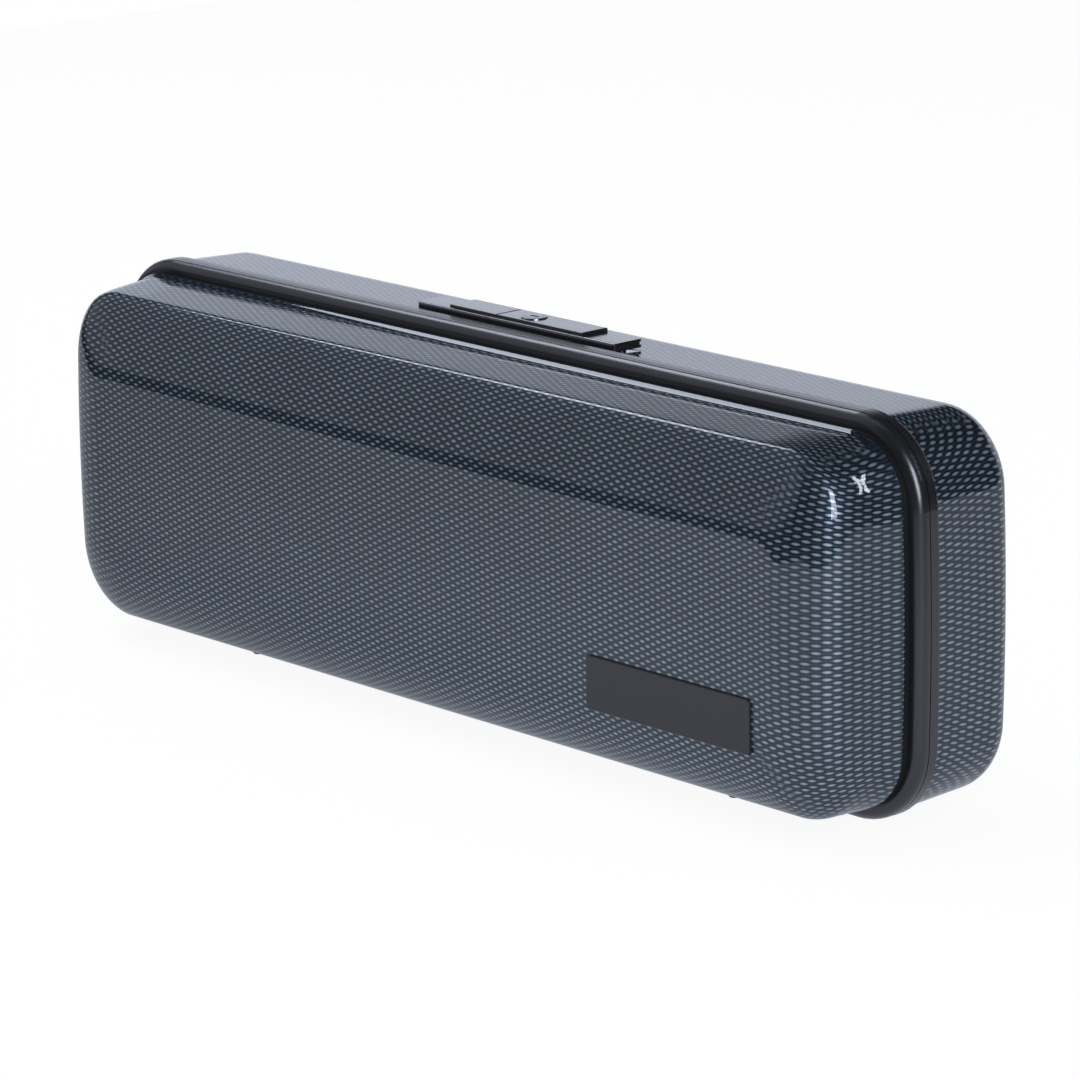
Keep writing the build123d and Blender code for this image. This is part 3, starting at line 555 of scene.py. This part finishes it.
def makeBaseShell(p):
    wallY = p["depth"] - p["roundDeep"]
    rings = softRings(wallY, p["depth"], p["draft"], p["roundIn"], p["share"], 18)
    steps = 6
    for i in range(1, steps + 1):
        left = 1 - i / steps
        rings.append(plainRing(p["edgeY"] + (wallY - p["edgeY"]) * left, p["draft"] * left))
    rings.append(plainRing(p["edgeY"], p["wall"]))
    inner = softRings(wallY, p["depth"] - p["wall"], p["draft"] + p["wall"], p["roundIn"],
                      p["share"], 10)
    shell = skin("baseShell", rings + list(reversed(inner)))
    c = latchCut
    cuts = [boxObject("stemSlot", (c["slot"][0], c["y"] - c["slot"][2], c["z"] - c["reach"]),
                      (c["slot"][1], c["y"] + c["slot"][2], c["z"] + c["reach"]))]
    for x, radius in ((c["lockX"], c["lockR"]), (c["rivetX"], c["rivetR"]), (-c["rivetX"], c["rivetR"])):
        cuts.append(drumObject("hole", (x, c["y"], c["z"]), radius, c["reach"] * 2))
    cutAway(shell, cuts)
    return shell


def settle(obj, body, slotName, finish, *replaced):
    dress(obj, finish)
    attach(obj, body)
    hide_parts(*replaced)
    return obj


settle(makeLidShell(lidShape), "lid", "shell", "weave", "lid_shell")
settle(makeBaseShell(baseShape), "base", "shell", "weave", "base_shell")

print("Fitted bed")

bed = {
    "inset": 3.70, "front": 2.5, "back": 31.5, "backRound": 5.4, "roundDeep": 5.7,
    "mouthRound": 1.3,             # rounding of the recess edges, where the cloth turns in
    "depth": 25.0,
    "pocket": ((-41.3, 1.0, 98.3), (41.3, 16.8, 130.0)),
    # left, right, height from the middle, width, corner, floor rounding, depth
    "upperJoint": (-150.0, 90.0, -6.25, 22.5, 8.0, 8.0, 25.0),
    "lowerJoint": (-150.0, 112.0, -33.75, 25.5, 8.0, 8.0, 25.0),
    "tray": (-150.0, 7.0, 25.0, 29.0, 4.0, 4.0, 25.0),
    "smallTray": (97.0, 148.0, -6.25, 22.5, 4.0, 4.0, 25.0),
    "scoop": (-49.0, -23.0, -20.0, 44.0, 8.0, 8.0, 11.0),
    "bell": (14.0, 146.0, 27.5, 4.0, 4.0, 25.0),     # left, right, height, corner, floor rounding, depth
    "bellNeck": 13.5, "bellRim": 19.0, "bellFlareAt": 72.6, "bellTaper": 1.0,
}


def roundedLoop(left, right, low, high, radius, steps=8):
    loop = []
    for middleX, middleZ, start in ((right - radius, high - radius, 0), (left + radius, high - radius, 90),
                                    (left + radius, low + radius, 180), (right - radius, low + radius, 270)):
        for i in range(steps + 1):
            a = radians(start + 90 * i / steps)
            loop.append((middleX + radius * cos(a), middleZ + radius * sin(a)))
    return loop


# Half width of the bell's recess at x
def bellHalf(x, p=bed):
    left, right = p["bell"][0], p["bell"][1]
    flareX = left + p["bellFlareAt"]
    slope = p["bellTaper"] / p["bellFlareAt"]
    if x <= flareX:
        return p["bellNeck"] + slope * (x - left)
    run = (x - flareX) / (right - flareX)
    rise = p["bellRim"] - p["bellNeck"] - p["bellTaper"]
    straight = slope * (right - flareX)
    return p["bellNeck"] + p["bellTaper"] + straight * run + (rise - straight) * run * run


def bellLoop(grow, p=bed):
    start, end, z, corner = p["bell"][:4]
    left, right, corner = start - grow, end + grow, max(corner + grow, 0.4)
    upper = []
    rimHalf, neckHalf = bellHalf(end) + grow, bellHalf(start) + grow
    for i in range(9):
        a = radians(90 * i / 8)
        upper.append((right - corner + corner * cos(a), rimHalf - corner + corner * sin(a)))
    stretch = 30
    for i in range(1, stretch):
        x = right - corner + (left + corner - right + corner) * i / stretch
        upper.append((x, min(bellHalf(min(max(x, start), end)) + grow, rimHalf)))
    for i in range(9):
        a = radians(90 + 90 * i / 8)
        upper.append((left + corner + corner * cos(a), neckHalf - corner + corner * sin(a)))
    lower = [(x, -h) for x, h in reversed(upper)]
    return [(x, z + h) for x, h in upper + lower]


# A cutter with a flared mouth, a straight wall and a rounded floor
def recessCutter(name, loopAt, floorRound, depth, p=bed):
    mouth = p["mouthRound"]
    stations = [(p["front"] - 1.0, mouth)]
    for i in range(7):
        turn = radians(90 * i / 6)
        stations.append((p["front"] + mouth * (1 - cos(turn)), mouth * (1 - sin(turn))))
    bottom = p["front"] + depth
    stations.append(((p["front"] + mouth + bottom - floorRound) / 2, 0.0))
    for i in range(7):
        turn = radians(90 * i / 6)
        stations.append((bottom - floorRound + floorRound * sin(turn), -floorRound * (1 - cos(turn))))
    bm = bmesh.new()
    rings = []
    for y, grow in stations:
        rings.append([bm.verts.new((x * mm, y * mm, (z + case["mid"]) * mm)) for x, z in loopAt(grow)])
    for first, second in zip(rings, rings[1:]):
        for i in range(len(first)):
            j = (i + 1) % len(first)
            bm.faces.new((first[i], first[j], second[j], second[i]))
    bm.faces.new(rings[0])
    bm.faces.new(rings[-1])
    return meshObject(name, bm)


def rectangleLoopAt(left, right, z, width, corner):
    def loopAt(grow):
        return roundedLoop(left - grow, right + grow, z - width / 2 - grow, z + width / 2 + grow,
                           max(corner + grow, 0.3))
    return loopAt


def makeBed(p):
    wallY = p["back"] - p["roundDeep"]
    rings = softRings(wallY, p["back"], p["inset"], p["backRound"], 0.5, 6)
    front = p["front"]
    for y, extra in ((front + 1.0, 0.0), (front + 0.3, 0.3), (front, 1.0)):
        rings.append(plainRing(y, p["inset"] + extra))
    block = skin("instrumentBed", rings)
    cuts = [boxObject("latchPocket", *p["pocket"])]
    for name in ("upperJoint", "lowerJoint", "tray", "smallTray", "scoop"):
        left, right, z, width, corner, floorRound, depth = p[name]
        cuts.append(recessCutter(name, rectangleLoopAt(left, right, z, width, corner), floorRound, depth))
    cuts.append(recessCutter("bell", bellLoop, p["bell"][4], p["bell"][5]))
    cutAway(block, cuts)
    block.data.set_sharp_from_angle(angle=radians(50))
    return block


settle(makeBed(bed), "base", "velvet", "velvet", "instrument_bed")

print("Lid lining")

lining = {"inset": 4.9, "thick": 2.5, "front": 9.6, "floor": 30.7, "wallY": -18.4, "roundIn": 21.4,
          "lipRound": 1.2}


def makeLining(p):
    outer = softRings(p["wallY"], -p["floor"], p["inset"], p["roundIn"], 0.2, 14)
    lip = []
    middle = p["inset"] + p["thick"] / 2
    for i in range(9):                                   # soft rolled edge
        turn = radians(180 * i / 8)
        lip.append(plainRing(-p["front"] - p["lipRound"] * (1 - sin(turn)),
                             middle - p["thick"] / 2 * cos(turn)))
    inner = softRings(p["wallY"], -p["floor"] + p["thick"], p["inset"] + p["thick"],
                      p["roundIn"], 0.2, 20)
    return skin("lidLining", outer + lip + list(reversed(inner)), sharpAngle=60)


settle(makeLining(lining), "lid", "lining", "lining", "lid_lining")

print("Lid pad")

pad = {
    "halfLen": 130.0, "halfHt": 25.0, "corner": 14.0, "floor": -28.2, "side": 3.0, "crown": 4.5,
    "edge": 14.0, "draw": 1.2, "channels": (-88.0, -44.0, 0.0, 44.0, 88.0),
    "channelDeep": 1.9, "channelWide": 5.5, "stepX": 0.9, "rows": 56,
    "wrinkle": 0.22, "stitchGap": 3.2, "stitchLong": 1.9, "stitchR": 0.28,
}


def padHalf(x, p=pad):
    beyond = abs(x) - (p["halfLen"] - p["corner"])
    if beyond <= 0:
        return p["halfHt"]
    return p["halfHt"] - p["corner"] + sqrt(max(0.0, p["corner"] ** 2 - beyond ** 2))


def padEdge(x, z, p=pad):
    # distance inside the rounded outline
    offX, offZ = abs(x) - (p["halfLen"] - p["corner"]), abs(z) - (p["halfHt"] - p["corner"])
    outside = hypot(max(offX, 0), max(offZ, 0)) + min(max(offX, offZ), 0)
    return max(0.0, p["corner"] - outside)


def padHeight(x, z, p=pad):
    inside = min(1.0, padEdge(x, z) / p["edge"])
    height = p["side"] + p["crown"] * sqrt(max(0.0, 1 - (1 - inside) ** 2))
    nearest = min(abs(x - c) for c in p["channels"])
    dip = max(0.0, 1 - nearest / p["channelWide"])
    height -= p["channelDeep"] * dip * dip * (0.35 + 0.65 * inside)
    tuck = noise.noise(Vector((x * 0.05, z * 0.42, 3.7))) * p["wrinkle"] * (0.3 + dip)
    slack = noise.noise(Vector((x * 0.03, z * 0.05, 9.1))) * 0.35 * inside
    return min(height + (tuck + slack) * inside, p["side"] + p["crown"])


def makePad(p):
    bm = bmesh.new()
    columns = int(2 * p["halfLen"] / p["stepX"])
    grid = []
    for i in range(columns + 1):
        x = -p["halfLen"] + 2 * p["halfLen"] * i / columns
        half = padHalf(x)
        line = []
        for j in range(p["rows"] + 1):
            z = -half * cos(pi * j / p["rows"])
            y = p["floor"] + padHeight(x, z)
            line.append(bm.verts.new((x * mm, y * mm, (z + case["mid"]) * mm)))
        grid.append(line)
    for first, second in zip(grid, grid[1:]):
        for j in range(p["rows"]):
            bm.faces.new((first[j], first[j + 1], second[j + 1], second[j]))
    rim = [line[0] for line in grid] + grid[-1][1:-1] + [line[-1] for line in reversed(grid)]
    rim += list(reversed(grid[0][1:-1]))
    drops = ((p["side"] * 0.5, 0.0), (p["side"] * 0.15, p["draw"] * 0.6), (0.0, p["draw"]))
    last = rim
    for rise, draw in drops:
        ring = []
        for vert in rim:
            x, z = vert.co.x / mm, vert.co.z / mm - case["mid"]
            coreX = max(-(p["halfLen"] - p["corner"]), min(p["halfLen"] - p["corner"], x))
            coreZ = max(-(p["halfHt"] - p["corner"]), min(p["halfHt"] - p["corner"], z))
            away = Vector((x - coreX, z - coreZ))
            away = away.normalized() if away.length > 1e-6 else Vector((0, 0))
            ring.append(bm.verts.new(((x - away.x * draw) * mm, (p["floor"] + rise) * mm,
                                      (z - away.y * draw + case["mid"]) * mm)))
        for i in range(len(rim)):
            j = (i + 1) % len(rim)
            bm.faces.new((last[i], last[j], ring[j], ring[i]))
        last = ring
    bm.faces.new(last)
    cushion = meshObject("lidPad", bm, sharpAngle=70)
    return cushion


def makeStitches(p):
    bm = bmesh.new()
    for x in p["channels"]:
        reach = p["halfHt"] - 4.0
        count = int(2 * reach / p["stitchGap"])
        for k in range(count + 1):
            z = -reach + 2 * reach * k / count
            y = p["floor"] + padHeight(x, z) + 0.05
            made = bmesh.ops.create_uvsphere(bm, u_segments=8, v_segments=6, radius=1.0)["verts"]
            size = Vector((p["stitchR"], p["stitchR"] * 0.8, p["stitchLong"] / 2)) * mm
            bmesh.ops.scale(bm, vec=size, verts=made)
            bmesh.ops.translate(bm, vec=Vector((x, y, z + case["mid"])) * mm, verts=made)
    return meshObject("padStitches", bm, sharpAngle=80)


cushion = settle(makePad(pad), "lid", "pad", "pad", "lid_pad")
stitches = makeStitches(pad)
dress(stitches, "pad")
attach(stitches, "lid")

print("Studio")

studio = {
    # front edge of the table, seen from above, in mm
    "tableEdge": ((-1100, -270), (-182, -270), (-60, -300), (128, -380), (309, -342), (438, -281),
                  (562, -154), (608, 62), (581, 218), (522, 343), (522, 1100), (-1100, 1100)),
    "floorWhite": 0.80, "cameraShare": 0.93, "glossShare": 0.75,
    # what the gloss sees of the table, a painted reflection: darker to the left, with a painted shadow next
    # to the case
    "shineLeft": 0.41, "shineRight": 0.85, "shineFrom": -0.42, "shineTo": 0.10,
    "nearShade": 0.72, "nearFrom": -0.15, "nearTo": -0.035,
    # what the gloss sees of the room: behind the case, in front of it to the left, elsewhere
    "behind": 0.95, "inFront": 0.44, "dark": 0.012,
    "cool": (0.87, 0.93, 1.07, 1),
    "ambient": 0.55,
}


def makeFloor(p):
    tree = Tree("paleFloor")
    diffuse = tree.add("ShaderNodeBsdfDiffuse", {"Color": grey(p["floorWhite"])}).outputs[0]
    clear = tree.add("ShaderNodeBsdfTransparent").outputs[0]         # the white room shows through
    spot = tree.add("ShaderNodeSeparateXYZ", {0: tree.place()})
    # painted reflection: for glossy rays the table glows, with painted shade to the left and a painted shadow
    # of the case next to it
    along = tree.ramp(spot.outputs[0], p["shineFrom"], p["shineTo"], p["shineLeft"], p["shineRight"])
    paintedCaseShadow = tree.ramp(spot.outputs[1], p["nearFrom"], p["nearTo"], 1.0, p["nearShade"])
    level = tree.math("MULTIPLY", along, paintedCaseShadow)
    shine = tree.add("ShaderNodeEmission", {"Color": p["cool"], "Strength": level}).outputs[0]
    path = tree.add("ShaderNodeLightPath")
    toGloss = tree.math("MULTIPLY", path.outputs["Is Glossy Ray"], p["glossShare"])
    toCamera = tree.math("MULTIPLY_ADD", path.outputs["Is Camera Ray"], p["cameraShare"],
                         path.outputs["Is Shadow Ray"], clamp=True)
    mixed = tree.add("ShaderNodeMixShader", {0: toGloss, 1: diffuse, 2: shine}).outputs[0]
    mixed = tree.add("ShaderNodeMixShader", {0: toCamera, 1: mixed, 2: clear}).outputs[0]
    tree.add("ShaderNodeOutputMaterial", {"Surface": mixed})
    bm = bmesh.new()
    bm.faces.new([bm.verts.new((x * mm, y * mm, -0.0003)) for x, y in p["tableEdge"]])
    floor = meshObject("floor", bm, smooth=False)
    floor.data.materials.append(tree.owner)


# The room: white behind the case, a grey wall in front of it to the left, dark elsewhere
def makeRoom(p):
    room = Tree("room", isWorld=True)
    direction = room.add("ShaderNodeSeparateXYZ", {0: room.add("ShaderNodeTexCoord").outputs["Generated"]})
    x, y, z = direction.outputs[0], direction.outputs[1], direction.outputs[2]
    behind = room.math("MULTIPLY", room.ramp(y, 0.10, 0.35), room.ramp(z, 0.28, 0.40, 1.0, 0.0))
    behind = room.math("MULTIPLY", behind, room.ramp(x, 0.05, 0.40, 1.0, 0.0))
    side = room.math("ARCTAN2", x, room.math("MULTIPLY", y, -1.0))       # 0 is straight ahead of the lid
    left = room.math("MULTIPLY", room.ramp(side, -0.75, -0.40, 1.0, 0.0), room.ramp(y, -0.15, 0.10, 1.0, 0.0))
    inFront = room.math("MULTIPLY", left, room.ramp(z, -0.06, 0.10))
    level = room.math("MULTIPLY_ADD", inFront, p["inFront"], p["dark"])
    level = room.math("MULTIPLY_ADD", behind, p["behind"], level)
    glossy = room.add("ShaderNodeBackground", {"Color": p["cool"], "Strength": level}).outputs[0]
    soft = room.add("ShaderNodeBackground", {"Color": grey(1.0), "Strength": p["ambient"]}).outputs[0]
    plain = room.add("ShaderNodeBackground", {"Color": grey(1.0), "Strength": 1.0}).outputs[0]
    path = room.add("ShaderNodeLightPath")
    lit = room.add("ShaderNodeMixShader", {0: path.outputs["Is Glossy Ray"], 1: soft, 2: glossy}).outputs[0]
    shown = room.add("ShaderNodeMixShader", {0: path.outputs["Is Camera Ray"], 1: lit, 2: plain}).outputs[0]
    room.add("ShaderNodeOutputWorld", {"Surface": shown})
    bpy.context.scene.world = room.owner


lampAim = (0.14, -0.02, 0.09)

lamps = {
    # name: direction from lampAim, distance, width, height, power, roll
    "window": ((0.800, -0.480, 0.360), 1.8, 0.80, 1.25, 31.0, 0),
    "sideWindow": ((0.64, 0.52, 0.55), 1.5, 0.030, 0.66, 0.9, -25),
    "leftWindow": ((-0.735, 0.185, 0.652), 1.5, 0.62, 0.34, 3.2, 0),
    "overhead": ((-0.35, -0.25, 0.9), 1.6, 1.1, 0.7, 14.0, 0),
}


def makeLamp(name, direction, distance, width, height, power, roll):
    data = bpy.data.lights.new(name, "AREA")
    data.shape = "RECTANGLE"
    data.size = width
    data.size_y = height
    data.energy = power
    data.color = studio["cool"][:3]
    lamp = bpy.data.objects.new(name, data)
    way = Vector(direction).normalized()
    lamp.location = Vector(lampAim) + way * distance
    turn = way.to_track_quat("Z", "Y") @ Quaternion((0, 0, 1), radians(roll))
    lamp.rotation_euler = turn.to_euler()
    bpy.context.scene.collection.objects.link(lamp)
    return lamp


makeFloor(studio)
makeRoom(studio)
for name, values in lamps.items():
    makeLamp(name, *values)
bpy.data.objects["overhead"].visible_glossy = False

bpy.context.scene.view_settings.view_transform = "Standard"
